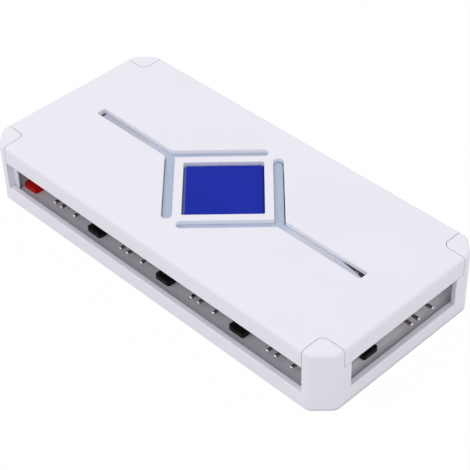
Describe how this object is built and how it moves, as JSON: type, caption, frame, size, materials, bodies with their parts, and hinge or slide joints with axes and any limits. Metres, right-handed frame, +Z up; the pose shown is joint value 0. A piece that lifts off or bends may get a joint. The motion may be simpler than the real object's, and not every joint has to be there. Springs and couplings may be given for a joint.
{
  "type": "pc fan controller hub",
  "caption": "White moulded hub that feeds PC case fans and their LEDs, with right-angle pin headers behind windows along its sides and a lit diamond pattern on top.",
  "frame": {"origin": "middle of the underside", "axes": "+X along the case towards the end with the two headers, +Y towards the back, +Z up"},
  "size_m": [0.118, 0.055, 0.018],
  "materials": {
    "case_white": "fine satin moulded plastic",
    "diffuser_pale": "frosted translucent plastic",
    "panel_blue": "polished tinted plastic",
    "board_pale": "white solder mask on glass laminate",
    "header_black": "satin moulded plastic",
    "header_red": "satin moulded plastic",
    "pin_metal": "bright tin plating",
    "chip_black": "moulded epoxy",
    "capacitor_can": "drawn metal can",
    "resistor_dark": "glazed ceramic",
    "lamp_white": "white lamp housing with clear filling"
  },
  "bodies": {
    "root": {"base_tray": "case_white", "blue_panel": "panel_blue", "capacitors": "capacitor_can", "chip_leads": "pin_metal", "circuit_board": "board_pale", "controller_chip": "chip_black", "driver_transistors": "chip_black", "fan_header_back_1": "header_black", "fan_header_back_2": "header_black", "fan_header_back_3": "header_black", "fan_header_back_4": "header_black", "fan_header_front_1": "header_red", "fan_header_front_2": "header_black", "fan_header_front_3": "header_black", "fan_header_front_4": "header_black", "fan_header_right": "header_black", "fan_pins_back_1": "pin_metal", "fan_pins_back_2": "pin_metal", "fan_pins_back_3": "pin_metal", "fan_pins_back_4": "pin_metal", "fan_pins_front_1": "pin_metal", "fan_pins_front_2": "pin_metal", "fan_pins_front_3": "pin_metal", "fan_pins_front_4": "pin_metal", "fan_pins_right": "pin_metal", "inlet_contacts": "pin_metal", "lamps": "lamp_white", "led_header_back_1": "header_black", "led_header_back_2": "header_black", "led_header_back_3": "header_black", "led_header_back_4": "header_black", "led_header_front_1": "header_black", "led_header_front_2": "header_black", "led_header_front_3": "header_black", "led_header_front_4": "header_black", "led_header_right": "header_black", "led_pins_back_1": "pin_metal", "led_pins_back_2": "pin_metal", "led_pins_back_3": "pin_metal", "led_pins_back_4": "pin_metal", "led_pins_front_1": "pin_metal", "led_pins_front_2": "pin_metal", "led_pins_front_3": "pin_metal", "led_pins_front_4": "pin_metal", "led_pins_right": "pin_metal", "light_diffuser": "diffuser_pale", "power_inlet": "header_black", "resistors": "resistor_dark", "top_cover": "case_white", "voltage_regulator": "chip_black"}
  },
  "joints": []
}
